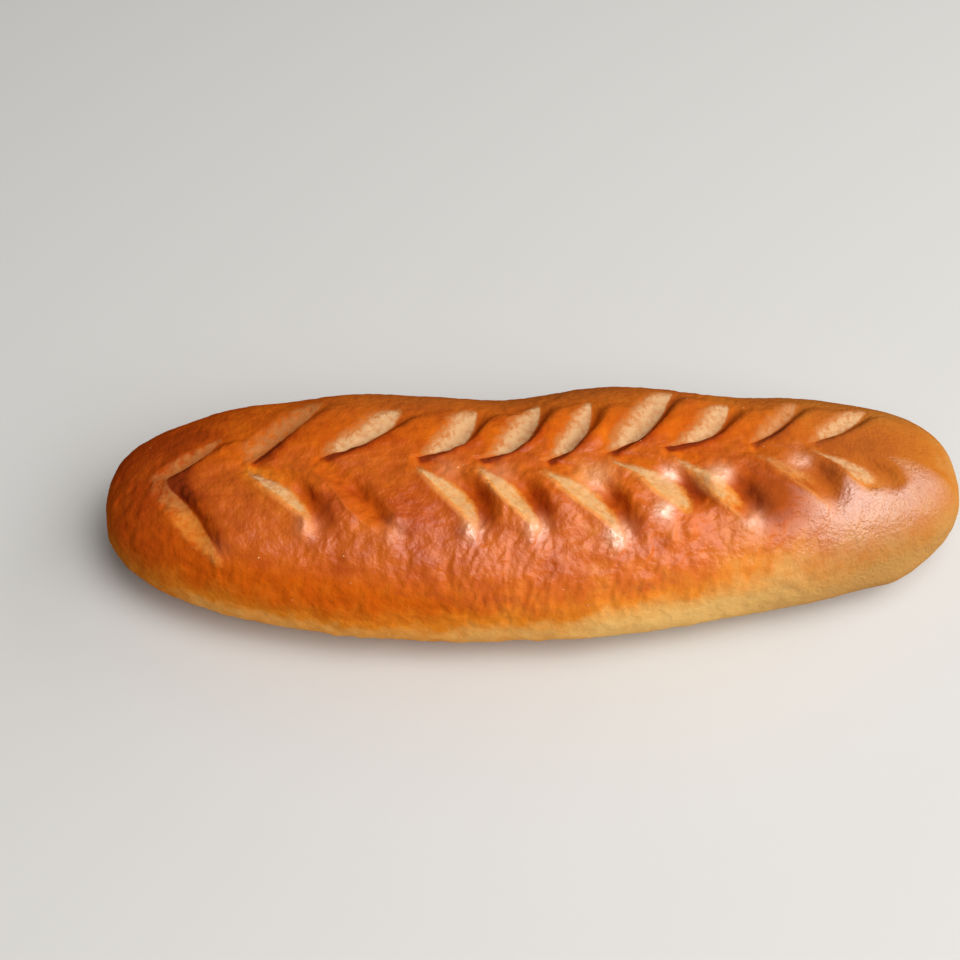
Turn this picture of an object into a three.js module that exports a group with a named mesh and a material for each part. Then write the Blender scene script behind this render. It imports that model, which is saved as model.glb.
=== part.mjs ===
// A long, glossy white loaf with a row of V-shaped cuts along its crown. The cuts open in the oven, so the
// crust between them swells into pillows and the loaf looks plaited. It is one solid piece of bread.
//
// Millimetres, +Z up. The loaf rests on its flat base at z = 0 with its length along X. Every cut points
// to -X and its two arms run back to +X, one over the back (+Y) and one over the front (-Y).
import * as THREE from "three";
import { mergeVertices } from "three/addons/utils/BufferGeometryUtils.js";

// The body without its cuts
const LENGTH = 320;
const WIDTH = 101;
const HEIGHT = 58;
const WAIST_HEIGHT = 20; // where the loaf is widest
const UNDERSIDE_DROP = 24; // reach of the round underside below the waist, before the base cuts it flat
const CROWN_SQUARENESS = 2.5; // 2 is an ellipse, more is boxier
const UNDERSIDE_SQUARENESS = 2.1;
const BLUNTNESS_LEFT = 2.6;
const BLUNTNESS_RIGHT = 2.8;
const RIGHT_TAPER = 0.095; // the right half is this share narrower
const TAPER_LENGTH = 88; // from the middle, over which the taper comes in
const BOW = 10; // the middle of the loaf lies this far towards -Y of its ends

// Slow unevenness of the crown: place along the loaf, place round the girth, rise and radius
const SWELLS = [
  { x: -72, girth: 34, rise: 1.5, radius: 26 },
  { x: -14, girth: 40, rise: -2.6, radius: 25 },
  { x: 37, girth: 38, rise: 2.4, radius: 20 },
  { x: 79, girth: -32, rise: 1.0, radius: 10 },
  { x: 43.5, girth: -25, rise: 2.2, radius: 4.4 },
  { x: 52.5, girth: -31.5, rise: 1.8, radius: 3.2 },
  { x: 46.5, girth: -33.5, rise: 1.3, radius: 3.0 },
  { x: 64, girth: -12, rise: 1.8, radius: 5.5 },
  { x: -69, girth: -13, rise: 0.9, radius: 2.4 },
  { x: -65.5, girth: -18, rise: 0.9, radius: 2.2 },
  { x: 133, girth: -73, rise: 3.0, radius: 11 },
  { x: 75, girth: -17, rise: -0.8, radius: 7 },
  { x: -110, girth: 52, rise: 1.6, radius: 18 },
];

// Girth places are arc lengths from the crest, to +Y positive, on a round of this radius
const GIRTH_RADIUS = 42;

// One arm of a cut. It runs along X while it reaches round the girth, gapes along X and is half closed again
// at a share of its reach. Its curl is 0 where it runs straight.
const makeArm = (run, reach, gape, curl, closed) => ({ run, reach, gape, curl, closed });

// A cut: its apex at x and girth, its back arm, its front arm, its depth and the rise of its knob. The front
// arm of a plain cut opens like its back arm.
function makeCut(x, girth, back, front, depth, knob, plain = false) {
  return { x, girth, back, front, depth, knob, plain };
}

const CUTS = [
  makeCut(-132, -7, makeArm(18, 23, 10, -0.5, 1), makeArm(21, 36, 12, -0.25, 1.05), 3.8, 1.6, true),
  makeCut(-103, -0.5, makeArm(25.5, 33, 13.5, 0, 1.1), makeArm(24, 32.5, 14, 1.2, 0.62), 2.8, 2.6),
  makeCut(-77, 1.5, makeArm(29, 24.5, 13, 0.5, 1.15), makeArm(28, 35.5, 9, 0, 0.9), 2.4, 2.2),
  makeCut(-43, 0.5, makeArm(23.5, 26, 11.5, 0.75, 1.1), makeArm(21.5, 33.5, 13.2, 1.4, 0.72), 3.8, 3),
  makeCut(-21, 0, makeArm(23.5, 29, 11, 1, 0.95), makeArm(21.5, 33, 12.5, 1.1, 0.75), 3.8, 3.2),
  makeCut(3.5, -2, makeArm(18, 29, 8.5, 0.8, 0.95), makeArm(26.2, 33.5, 16.5, 1.1, 0.68), 4.2, 3.2),
  makeCut(25.5, 1, makeArm(27.5, 31, 12, 0.4, 1.1), makeArm(29.5, 28, 16.5, 1.3, 0.88), 3.8, 0.6),
  makeCut(45.5, 2.5, makeArm(27, 22, 11, 0.9, 1.1), makeArm(31.5, 37, 12.8, 0.95, 0.83), 2.8, 2.8),
  makeCut(78, 3.5, makeArm(21, 26, 8.5, 0.5, 1.15), makeArm(27, 35, 16.5, 1.2, 0.66), 2.6, 2),
  makeCut(100.5, 3.5, makeArm(25.5, 25, 10.5, 0.3, 1.1), makeArm(26.5, 30, 15.5, 1.2, 0.91), 2.6, 1.4),
];

// How the two kinds of arm differ: the share of the reach where the gape is full, how much of it closes and
// over what share, how soon the arm bends, the spread of the next pillow's shoulder, and the torn lip's rise
const BACK_ARM = { full: 0.4, close: 0.85, closing: 0.3, bend: 0.6, shoulder: 3, lipRise: 0.2 };
const FRONT_ARM = { full: 0.24, close: 0.82, closing: 0.3, bend: 0.7, shoulder: 4, lipRise: 2 };
const ARM_FADE_START = 0.74; // shares of an arm's reach over which its relief dies out
const ARM_FADE_END = 1.02;
const WANDER = 0.6; // how far a valley strays from its line
const WANDER_STEP = 2; // how much the straying differs from one cut to the next
const WANDER_LENGTH = 5;

// The section across an arm: a torn lip, the pale face down to the valley, and the next pillow's shoulder
const LIP_FADE = 6;
const LIP_FULL = 0.35; // share of an arm's reach where the lip is at its full rise
const LIP_END_START = 0.6; // shares between which the lip dies out again
const LIP_END = 1;
const FACE_HOLLOW = 1.4; // 1 is a flat face
const PILLOW_RISE = 2.4;
const FULL_DEPTH = 3.8; // depth of a cut whose pillow has its full rise
const PILLOW_FADE = 15;
const SHOULDER_ROUNDING = 1.6;
const APEX_ROUNDING = 1; // radius of the cut's point
const APEX_BLEND = 5; // girth over which one arm's section turns into the other's
const APEX_OPENING = 0.25; // share of the pale face's width at the point
const PLAIN_OPENING = 0.75; // the same at the point of a plain cut
const FRONT_APEX_DEPTH = 0.15; // share of the cut's depth at the point, towards the front arm
const FRONT_DEEPENING_START = 0.2; // shares of the front arm's reach between which the cut deepens
const FRONT_DEEPENING_END = 0.55;
const BACK_APEX_DEPTH = 0.25; // the same towards the back arm, which deepens from the point on
const BACK_DEEPENING_END = 0.35;
const CREST_ROUNDING = 12; // radius of the pillow's crest behind the point
const CREST_START = 1; // distances from the valley between which the pillow's tip turns round
const CREST_END = 10;

// The knob of crust that ends a front arm's lip, and the dimple beside it, as shares of the knob's rise
const KNOB = { along: -3.4, round: 3.6, rise: 0.6, radius: 4.6 };
const DIMPLE = { along: 0.8, round: 1.5, rise: -0.4, radius: 3.2 };

// Soft lumps over the crown, which lean along the loaf and die out below its waist
const LUMP_RISE = 0.5;
const LUMP_LENGTH = 9;
const LUMP_LEAN_ALONG = 1 / 2;
const LUMP_LEAN_ROUND = 1 / 3;
const LUMP_FADE_START = 60;
const LUMP_FADE_END = 90;

// Mesh rows: from the left tip to the first cut, inside each face, shoulder and pillow, and to the right tip
const TIP_ROWS_LEFT = 10;
const TIP_ROWS_RIGHT = 13;
const EDGE_ROWS = [1, 1, 2];
const COLUMNS = 64;
const CROWN_DENSITY = 0.6; // column spacing on the crest, as a share of even spacing
const LEAST_FACE = 5; // along the loaf, the rows' least width over a pale face
const SHOULDER_SPREAD = 1.3; // the rows' width over a shoulder, as a multiple of the shoulder's
const STRAIGHT_FACE = 10; // the same two widths past the end of an arm
const STRAIGHT_SHOULDER = 7;
const SPREAD_START = 0.8; // shares of an arm's reach between which the rows take those widths
const SPREAD_END = 1.3;
const LEAST_SPACING = 1.2; // between the rows that follow a cut
const STRAIGHTEN_START = 36; // girth places between which the rows turn from slanted to straight
const STRAIGHTEN_END = 105;

const CRUST_COLOUR = 0xc8602a;
const CRUST_ROUGHNESS = 0.4;

const { lerp, smoothstep } = THREE.MathUtils;
const bell = (distance, radius) => Math.exp(-((distance / radius) ** 2));

// How full the loaf is at x, from 0 at its tips to 1 in the middle.
function fullness(x) {
  const t = Math.min(Math.abs(x) / (LENGTH / 2), 1);
  const bluntness = x < 0 ? BLUNTNESS_LEFT : BLUNTNESS_RIGHT;
  return (1 - t ** bluntness) ** (1 / bluntness);
}

// Radius of the plain body at x, at an angle from straight up, to +Y positive.
function bodyRadius(x, angle) {
  const full = fullness(x);
  const side = (WIDTH / 2) * full * (1 - RIGHT_TAPER * smoothstep(x, 0, TAPER_LENGTH));
  const upper = Math.abs(angle) <= Math.PI / 2;
  const rise = (upper ? HEIGHT - WAIST_HEIGHT : UNDERSIDE_DROP) * full;
  const squareness = upper ? CROWN_SQUARENESS : UNDERSIDE_SQUARENESS;
  if (full === 0) return 0;
  const across = Math.abs(Math.sin(angle) / side) ** squareness;
  const up = Math.abs(Math.cos(angle) / rise) ** squareness;
  return (across + up) ** (-1 / squareness);
}

// Share of an arm's reach at a girth place beside the apex, with the cut's point rounded off.
function shareOf(side, reach, rounding) {
  return (Math.hypot(side, rounding) - rounding) / (Math.hypot(reach, rounding) - rounding);
}

// Factor from a distance along X to one across an arm.
function slantOf({ run, reach }) {
  return reach / Math.hypot(run, reach);
}

// Where a cut lies at a girth place: how far along its arm, its valley, its pillow's crest, and the section.
function armAt(cut, index, girth) {
  const side = girth - cut.girth;
  const frontKind = cut.plain ? BACK_ARM : FRONT_ARM;
  const [arm, kind] = side > 0 ? [cut.back, BACK_ARM] : [cut.front, frontKind];
  const share = shareOf(side, arm.reach, APEX_ROUNDING);
  const stray = WANDER * Math.sin(girth / WANDER_LENGTH + index * WANDER_STEP);
  const line = (reached, bend) => {
    const along = Math.min(reached, 1);
    const curled = Math.sin((along ** bend * Math.PI) / 2);
    return cut.x + arm.run * lerp(along, curled, arm.curl) + stray;
  };
  const opening = Math.sin((Math.min(share / kind.full, 1) * Math.PI) / 2);
  const closing = smoothstep(share, arm.closed - kind.closing, arm.closed + kind.closing);
  const gape = lerp(cut.plain ? PLAIN_OPENING : APEX_OPENING, 1, opening) * (1 - kind.close * closing);
  const onBack = smoothstep(side, -APEX_BLEND, APEX_BLEND);
  const toBack = cut.plain ? 1 : onBack;
  const slant = lerp(slantOf(cut.front), slantOf(cut.back), onBack);
  const frontDeep = lerp(FRONT_APEX_DEPTH, 1, smoothstep(share, FRONT_DEEPENING_START, FRONT_DEEPENING_END));
  const backDeep = lerp(BACK_APEX_DEPTH, 1, smoothstep(share, 0, BACK_DEEPENING_END));
  const deep = lerp(frontDeep, backDeep, toBack);
  const lip = smoothstep(share, 0, LIP_FULL) * (1 - smoothstep(share, LIP_END_START, LIP_END));
  return {
    share,
    toBack,
    slant,
    valley: line(share, kind.bend),
    crest: line(shareOf(side, arm.reach, CREST_ROUNDING), 1),
    open: lerp(cut.front.gape, cut.back.gape, onBack) * slant * gape,
    depth: cut.depth * deep,
    pillow: (PILLOW_RISE * deep * cut.depth) / FULL_DEPTH,
    shoulder: lerp(FRONT_ARM.shoulder, BACK_ARM.shoulder, toBack),
    lipRise: lerp(FRONT_ARM.lipRise, BACK_ARM.lipRise, toBack) * lip,
  };
}

// Height of the section across an arm at x.
function armSection(x, at) {
  const distance = (x - at.valley) * at.slant;
  if (distance < -at.open) return at.lipRise * Math.exp((distance + at.open) / LIP_FADE);
  if (distance < 0) {
    const up = -distance / at.open;
    return lerp(-at.depth, at.lipRise, lerp(up ** FACE_HOLLOW, smoothstep(up, 0, 1), at.toBack));
  }
  const rounded = (x - at.crest) * at.slant;
  const past = Math.max(lerp(distance, rounded, smoothstep(distance, CREST_START, CREST_END)), 0);
  const flank = Math.exp(-((past / at.shoulder) ** SHOULDER_ROUNDING));
  return at.pillow * bell(past, PILLOW_FADE) - (at.depth + at.pillow) * flank;
}

// Relief of the whole crust over the plain body.
function relief(x, girth) {
  const lumpAlong = Math.sin((x + girth * LUMP_LEAN_ALONG) / LUMP_LENGTH);
  const lumpRound = Math.sin((girth - x * LUMP_LEAN_ROUND) / LUMP_LENGTH);
  const onCrown = 1 - smoothstep(Math.abs(girth), LUMP_FADE_START, LUMP_FADE_END);
  let height = LUMP_RISE * lumpAlong * lumpRound * onCrown;
  for (const swell of SWELLS) {
    height += swell.rise * bell(Math.hypot(x - swell.x, girth - swell.girth), swell.radius);
  }
  CUTS.forEach((cut, index) => {
    const at = armAt(cut, index, girth);
    height += (1 - smoothstep(at.share, ARM_FADE_START, ARM_FADE_END)) * armSection(x, at);
    for (const spot of [KNOB, DIMPLE]) {
      const along = x - (cut.x + cut.front.run + spot.along);
      const round = girth - (cut.girth - cut.front.reach + spot.round);
      height += cut.knob * spot.rise * bell(Math.hypot(along, round), spot.radius);
    }
  });
  return height * fullness(x);
}

// The x of every mesh row at one girth place. Rows follow the cuts over the crown and run straight below it.
function rowsAt(girth) {
  const below = smoothstep(Math.abs(girth), STRAIGHTEN_START, STRAIGHTEN_END);
  const edges = [];
  CUTS.forEach((cut, index) => {
    const at = armAt(cut, index, girth);
    const middle = lerp(at.valley, cut.x + (cut.back.run + cut.front.run) / 2, below);
    const spread = smoothstep(at.share, SPREAD_START, SPREAD_END);
    const left = lerp(Math.max(at.open / at.slant, LEAST_FACE), STRAIGHT_FACE, spread);
    const right = lerp((SHOULDER_SPREAD * at.shoulder) / at.slant, STRAIGHT_SHOULDER, spread);
    for (const edge of [middle - left, middle, middle + right]) {
      edges.push(edges.length ? Math.max(edge, edges[edges.length - 1] + LEAST_SPACING) : edge);
    }
  });
  const rows = [];
  for (let k = 0; k < TIP_ROWS_LEFT; k++) {
    rows.push(lerp(edges[0], -LENGTH / 2, Math.cos(((k / TIP_ROWS_LEFT) * Math.PI) / 2)));
  }
  edges.forEach((edge, i) => {
    rows.push(edge);
    if (i === edges.length - 1) return;
    const between = EDGE_ROWS[i % EDGE_ROWS.length];
    for (let k = 1; k <= between; k++) rows.push(lerp(edge, edges[i + 1], k / (between + 1)));
  });
  const last = rows[rows.length - 1];
  for (let k = 1; k <= TIP_ROWS_RIGHT; k++) {
    rows.push(lerp(last, LENGTH / 2, Math.sin(((k / TIP_ROWS_RIGHT) * Math.PI) / 2)));
  }
  return rows;
}

// One point of the crust, with the underside cut flat at the base.
function crustPoint(x, angle) {
  const radius = bodyRadius(x, angle) + relief(x, angle * GIRTH_RADIUS);
  const lean = BOW * (1 - (x / (LENGTH / 2)) ** 2);
  const y = radius * Math.sin(angle) - lean;
  const z = WAIST_HEIGHT + radius * Math.cos(angle);
  return new THREE.Vector3(x, y, Math.max(z, 0));
}

// A sphere whose poles become the loaf's two tips, with each vertex moved onto the crust.
function makeLoafGeometry() {
  const rowCount = rowsAt(0).length;
  const geometry = new THREE.SphereGeometry(1, COLUMNS, rowCount - 1);
  const position = geometry.getAttribute("position");
  for (let column = 0; column <= COLUMNS; column++) {
    const even = (2 * (column % COLUMNS)) / COLUMNS - 1;
    const angle = Math.PI * lerp(even ** 3, even, CROWN_DENSITY);
    rowsAt(angle * GIRTH_RADIUS).forEach((x, row) => {
      const point = crustPoint(x, angle);
      position.setXYZ(row * (COLUMNS + 1) + column, point.x, point.y, point.z);
    });
  }
  geometry.deleteAttribute("normal");
  geometry.deleteAttribute("uv");
  const closed = mergeVertices(geometry, 1e-3);
  closed.computeBoundingBox();
  const { min, max } = closed.boundingBox;
  closed.translate(-(min.x + max.x) / 2, -(min.y + max.y) / 2, -min.z);
  closed.computeVertexNormals();
  return closed;
}

const crust = new THREE.MeshStandardMaterial({
  color: CRUST_COLOUR,
  roughness: CRUST_ROUGHNESS,
  metalness: 0,
});

const loaf = new THREE.Mesh(makeLoafGeometry(), crust);
loaf.name = "loaf";

const part = new THREE.Group();
part.add(loaf);

export default part;
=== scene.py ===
"""Looks of a long glazed bread loaf whose crown is cut in a row of Vs.

The crust is one fine mesh, worked out from the same sizes as the loaf's solid and placed on it. Geometry
Nodes add the crust's blisters, streaks, wrinkles and torn lips, and scatter dry specks over the crown.
Sizes are in millimetres until a mesh is made, and in metres from there on.
"""

import logging
import math
from dataclasses import dataclass, field
from enum import Enum
from typing import Any, NamedTuple, Sequence

import bpy
import numpy as np
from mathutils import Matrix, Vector


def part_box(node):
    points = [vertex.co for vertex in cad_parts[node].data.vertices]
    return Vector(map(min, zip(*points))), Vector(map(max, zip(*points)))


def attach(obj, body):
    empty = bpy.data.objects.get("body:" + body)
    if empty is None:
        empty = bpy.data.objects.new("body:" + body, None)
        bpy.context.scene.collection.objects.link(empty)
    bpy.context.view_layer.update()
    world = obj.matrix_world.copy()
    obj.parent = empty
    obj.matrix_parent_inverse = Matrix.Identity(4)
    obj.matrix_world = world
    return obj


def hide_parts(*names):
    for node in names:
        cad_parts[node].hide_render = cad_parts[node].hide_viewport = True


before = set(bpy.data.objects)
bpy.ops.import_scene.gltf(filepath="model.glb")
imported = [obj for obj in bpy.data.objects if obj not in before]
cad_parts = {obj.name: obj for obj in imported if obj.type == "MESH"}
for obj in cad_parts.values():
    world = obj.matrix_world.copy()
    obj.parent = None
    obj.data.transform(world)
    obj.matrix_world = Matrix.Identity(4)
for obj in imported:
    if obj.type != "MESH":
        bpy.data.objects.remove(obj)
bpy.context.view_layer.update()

LOG = logging.getLogger("loaf")
MM = 0.001
NODE = "loaf"
BODY = "root"

Array = np.ndarray
Colour = tuple[float, float, float, float]
Span = tuple[float, float]


def srgb(red: int, green: int, blue: int) -> Colour:
    """Turn an 8-bit screen colour into a linear one.

    Args:
        red: Red, 0 to 255.
        green: Green, 0 to 255.
        blue: Blue, 0 to 255.

    Returns:
        The linear colour with full alpha.
    """
    def linear(channel: int) -> float:
        """Linear value of one channel."""
        share = channel / 255
        return share / 12.92 if share <= 0.04045 else ((share + 0.055) / 1.055) ** 2.4

    return (linear(red), linear(green), linear(blue), 1.0)


def smoothstep(value: Array, low: float, high: float) -> Array:
    """Ease from 0 at low to 1 at high."""
    share = np.clip((value - low) / (high - low), 0.0, 1.0)
    return share * share * (3 - 2 * share)


def lerp(start: Any, end: Any, share: Any) -> Any:
    """Go from start to end by a share."""
    return start + (end - start) * share


def bell(distance: Array, radius: float) -> Array:
    """Bell curve of height 1 with the given radius."""
    return np.exp(-((distance / radius) ** 2))


def between(value: Array, rise: Span, fall: Span) -> Array:
    """Ease from 0 to 1 over one span, and back to 0 over another."""
    return smoothstep(value, *rise) * (1 - smoothstep(value, *fall))


class Attribute(str, Enum):
    """Names of the crust's vertex attributes."""

    PALE = "pale"
    # Torn lips: ragged relief, and the painted highlight along the ridge.
    LIP = "lip"
    # Darker flanks, folds and pillow edges: browner bake, and painted shade where the crust turns from the
    # light, lies in a crease or sits under an overhang.
    FLANK_BAKE_AND_SHADE = "flank"
    # Knob ends and pillow tips: painted sheen over paler crust, and more gloss.
    SHEEN_SPOT = "knob"
    # Darker and lighter patches: uneven bake, painted shade on slopes turned from the light, painted sheen
    # on pillow tops.
    TOAST_AND_PAINTED_LIGHT = "toast_and_painted_light"
    DULL = "dull"


class Placement(NamedTuple):
    """Where a cut lies at each girth place, and the sizes of its section there."""

    share: Array
    valley: Array
    crest: Array
    open: Array
    slant: Array
    depth: Array
    pillow: Array
    shoulder: Array
    lip_rise: Array
    pale: Array
    to_back: Array
    pale_end: Array


@dataclass(frozen=True)
class Arm:
    """One arm of a cut.

    It runs along X while it reaches round the girth, gapes along X and is half closed again at a share of
    its reach. Its curl is 0 where it runs straight, and its pale is how bare of crust its face is, up to a
    share of its reach.
    """

    run: float
    reach: float
    gape: float
    curl: float
    closed: float
    pale: float
    pale_end: float = 1.05

    @property
    def slant(self) -> float:
        """Factor from a distance along X to one across the arm."""
        return self.reach / math.hypot(self.run, self.reach)


@dataclass(frozen=True)
class ArmKind:
    """How back and front arms differ: where the gape is full, how it closes, its bend, shoulder and lip."""

    full: float
    close: float
    closing: float
    bend: float
    shoulder: float
    lip_rise: float


@dataclass(frozen=True)
class Cut:
    """One V-shaped cut: its apex, its two arms, its depth, and the rise of the knob at its front end.

    The front arm of a plain cut opens like its back arm.
    """

    x: float
    girth: float
    back: Arm
    front: Arm
    depth: float
    knob: float
    plain: bool = False


@dataclass(frozen=True)
class Swell:
    """A round rise or hollow of the crown, or a darker or lighter patch: uneven bake, painted shade and
    sheen.
    """

    x: float
    girth: float
    rise: float
    radius: float

    def over(self, x: Array, girth: Array) -> Array:
        """Its height at places on the crust."""
        return self.rise * bell(np.hypot(x - self.x, girth - self.girth), self.radius)


@dataclass(frozen=True)
class Spot:
    """A round rise, dimple or painted gleam at the end of a front arm, its rise a share of the cut's knob.
    """

    along: float
    round: float
    rise: float
    radius: float

    def over(self, cut: Cut, x: Array, girth: Array) -> Array:
        """Its height at places on the crust, for a knob of height 1.

        Args:
            cut: The cut whose front arm it ends.
            x: Places along the loaf.
            girth: Girth places.

        Returns:
            The height.
        """
        end_x = cut.x + cut.front.run + self.along
        end_girth = cut.girth - cut.front.reach + self.round
        return Swell(end_x, end_girth, self.rise, self.radius).over(x, girth)


def default_cuts() -> tuple[Cut, ...]:
    """The cuts from the left end to the right one."""
    return (
        Cut(-132, -7, Arm(18, 23, 10, -0.5, 1.0, 0.4),
            Arm(21, 36, 12, -0.25, 1.05, 0.42), 3.8, 1.6, True),
        Cut(-103, -0.5, Arm(25.5, 33, 13.5, 0, 1.1, 0.45),
            Arm(24, 32.5, 14, 1.2, 0.62, 0.85, 0.78), 2.8, 2.6),
        Cut(-77, 1.5, Arm(29, 24.5, 13, 0.5, 1.15, 0.9),
            Arm(28, 35.5, 9, 0, 0.9, 0.1), 2.4, 2.2),
        Cut(-43, 0.5, Arm(23.5, 26, 11.5, 0.75, 1.1, 0.9),
            Arm(21.5, 33.5, 13.2, 1.4, 0.72, 0.95, 0.88), 3.8, 3.0),
        Cut(-21, 0, Arm(23.5, 29, 11, 1.0, 0.95, 0.9),
            Arm(21.5, 33, 12.5, 1.1, 0.75, 1.0, 0.9), 3.8, 3.2),
        Cut(3.5, -2, Arm(18, 29, 8.5, 0.8, 0.95, 0.9),
            Arm(26.2, 33.5, 16.5, 1.1, 0.68, 0.95, 0.88), 4.2, 3.2),
        Cut(25.5, 1, Arm(27.5, 31, 12, 0.4, 1.1, 0.95),
            Arm(29.5, 28, 16.5, 1.3, 0.88, 1.0, 0.95), 3.8, 0.6),
        Cut(45.5, 2.5, Arm(27, 22, 11, 0.9, 1.1, 0.9),
            Arm(31.5, 37, 12.8, 0.95, 0.83, 0.75, 0.74), 2.8, 2.8),
        Cut(78, 3.5, Arm(21, 26, 8.5, 0.5, 1.15, 0.55),
            Arm(27, 35, 16.5, 1.2, 0.66, 0.5, 0.58), 2.6, 2.0),
        Cut(100.5, 3.5, Arm(25.5, 25, 10.5, 0.3, 1.1, 0.85),
            Arm(26.5, 30, 15.5, 1.2, 0.91, 0.8, 0.8), 2.6, 1.4),
    )


def default_swells() -> tuple[Swell, ...]:
    """The crown's slow unevenness."""
    return (
        Swell(-72, 34, 1.5, 26),
        Swell(-14, 40, -2.6, 25),
        Swell(37, 38, 2.4, 20),
        Swell(79, -32, 1.0, 10),
        Swell(43.5, -25, 2.2, 4.4),
        Swell(52.5, -31.5, 1.8, 3.2),
        Swell(46.5, -33.5, 1.3, 3.0),
        Swell(64, -12, 1.8, 5.5),
        Swell(-69, -13, 0.9, 2.4),
        Swell(-65.5, -18, 0.9, 2.2),
        Swell(133, -73, 3.0, 11),
        Swell(75, -17, -0.8, 7),
        Swell(-110, 52, 1.6, 18),
    )


def default_toast_and_painted_light() -> tuple[Swell, ...]:
    """Patches baked darker, and lighter ones with a rise below 0, with painted shade and painted sheen in
    them.
    """
    return (
        Swell(-126, 21, 0.14, 18),
        Swell(-123, -15, 0.05, 9),
        Swell(-68, -14, 0.03, 12),
        Swell(18, -9, -0.16, 7),
        Swell(-27, -7, -0.1, 6),
        Swell(54, -17, 0.14, 5),
        Swell(77, -17, 0.16, 11),
        Swell(86, -24, 0.2, 11),
        Swell(-101, -4, -0.22, 5),
        Swell(-92, -16, -0.1, 10),
        Swell(-42, -20, 0.12, 12),
        Swell(105, -11, 0.22, 5),
        Swell(118, 4, 0.12, 14),
        Swell(60, 6, 0.12, 9),
        Swell(88, 10, 0.14, 8),
    )


def default_sheen_and_pale_crust() -> tuple[Swell, ...]:
    """Painted sheen: thin, light patches on the tips of the pillows, with their strength for a rise."""
    return (
        Swell(47, -11, 1.2, 3.6),
        Swell(64.5, -12, 1.25, 4.2),
        Swell(26.6, -32.7, 1.3, 3.6),
        Swell(43.5, -25, 1.2, 3.2),
        Swell(94, -6.5, 0.6, 4),
        Swell(20, -11, 0.6, 6),
        Swell(-32, -6, 0.3, 4.5),
        Swell(-13, -8, 0.35, 4.5),
    )


@dataclass(frozen=True)
class CutMarks:
    """Masks of a cut: pale faces, torn lips, dull places, and dark flanks and edges, bake and painted
    shade.

    Runs are shares of an arm's reach, rises and falls shares of its face from the valley up, and an edge's
    rise and fall are millimetres below the arm.
    """

    back_face_rise: Span = (-0.05, 0.1)
    back_face_fall: Span = (0.35, 1.25)
    front_foot_at_point: float = 0.45
    front_foot: float = 0.05
    front_foot_run: Span = (0.1, 0.5)
    front_face_rise: Span = (0, 0.48)
    front_face_fall: Span = (0.85, 1.03)
    front_pale_run: Span = (0, 0.3)
    back_pale_run: Span = (0, 0.25)
    back_pale_at_point: float = 0.7
    pale_end_softness: float = 0.12
    # The lip mask also places the painted highlight along the torn ridge.
    lip_width: float = 0.9
    lip_run: Span = (0.05, 0.2)
    dull_rise: Span = (-0.8, -0.3)
    dull_fall: Span = (0.9, 1.4)
    # The flank, fold and edge masks darken the crust: partly browner bake, partly painted shade.
    front_flank: float = 0.45
    front_flank_width: float = 6.0
    front_flank_run: Span = (0.25, 0.55)
    front_flank_depth: float = 3.6
    front_fold: float = 0.35
    back_flank_start: float = 1.5
    back_flank_width: float = 4.4
    back_flank_run: Span = (0.15, 0.6)
    back_flank_loss: float = 0.8
    back_fold: float = 0.04
    edge: float = 1.4
    edge_rise: Span = (-0.6, 0.4)
    edge_fall: Span = (1.2, 5.0)
    edge_run_rise: Span = (0, 0.1)
    edge_run_fall: Span = (0.4, 1.1)

    def arm(self, distance: Array, at: Placement, strength: Array) -> dict[Attribute, Array]:
        """Mark an arm.

        Args:
            distance: Distances from the valley.
            at: The cut's place.
            strength: How far the arm's relief has faded.

        Returns:
            The arm's masks.
        """
        up = -distance / at.open
        return {
            Attribute.PALE: self.face(up, at) * at.pale,
            # The lip also places the painted highlight along the torn ridge.
            Attribute.LIP: bell(distance + at.open, self.lip_width) * strength
            * smoothstep(at.share, *self.lip_run) * (1 - at.to_back) * at.pale,
            Attribute.DULL: between(up, self.dull_rise, self.dull_fall) * strength,
            Attribute.FLANK_BAKE_AND_SHADE: self.flank(distance, up, at) * strength,
        }

    def face(self, up: Array, at: Placement) -> Array:
        """Mask of an arm's face.

        Args:
            up: Share of the face's height.
            at: The cut's place.

        Returns:
            The mask, 1 where the face is bare of crust.
        """
        back_face = between(up, self.back_face_rise, self.back_face_fall)
        farther = smoothstep(at.share, *self.front_foot_run)
        foot = lerp(self.front_foot_at_point, self.front_foot, farther)
        front_face = smoothstep(up - foot, *self.front_face_rise)
        front_face = front_face * (1 - smoothstep(up, *self.front_face_fall))
        front_pale = smoothstep(at.share, *self.front_pale_run)
        back_pale = lerp(self.back_pale_at_point, 1, smoothstep(at.share, *self.back_pale_run))
        soft = self.pale_end_softness
        from_end = 1 - smoothstep(at.share - at.pale_end, -soft, soft)
        return lerp(front_face, back_face, at.to_back) * lerp(front_pale, back_pale, at.to_back) * from_end

    def flank(self, distance: Array, up: Array, at: Placement) -> Array:
        """Mask of the flank beside an arm and the fold at its face's foot: browner bake and painted shade.

        Args:
            distance: Distances from the valley.
            up: Share of the face's height.
            at: The cut's place.

        Returns:
            The mask.
        """
        width = lerp(self.front_flank_width, self.back_flank_width, at.to_back)
        beside = bell(np.maximum(distance - self.back_flank_start * at.to_back, 0), width)
        # Painted shade in the crease at the foot of the face.
        fold = bell(up, lerp(self.front_fold, self.back_fold, at.to_back))
        deep = np.minimum(at.depth / self.front_flank_depth, 1) ** 2
        front = self.front_flank * smoothstep(at.share, *self.front_flank_run) * deep
        back = 1 - self.back_flank_loss * smoothstep(at.share, *self.back_flank_run)
        return np.where(distance > 0, beside, fold) * lerp(front, back, at.to_back)

    def baked_and_shaded_edge(self, below: Array, along: Array) -> Array:
        """Mask of a pillow's dark edge, by the distance below a back arm and the share along it."""
        # The edge is browner bake, with painted shade under the pillow's overhang.
        across = between(below, self.edge_rise, self.edge_fall)
        return self.edge * across * between(along, self.edge_run_rise, self.edge_run_fall)


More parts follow.
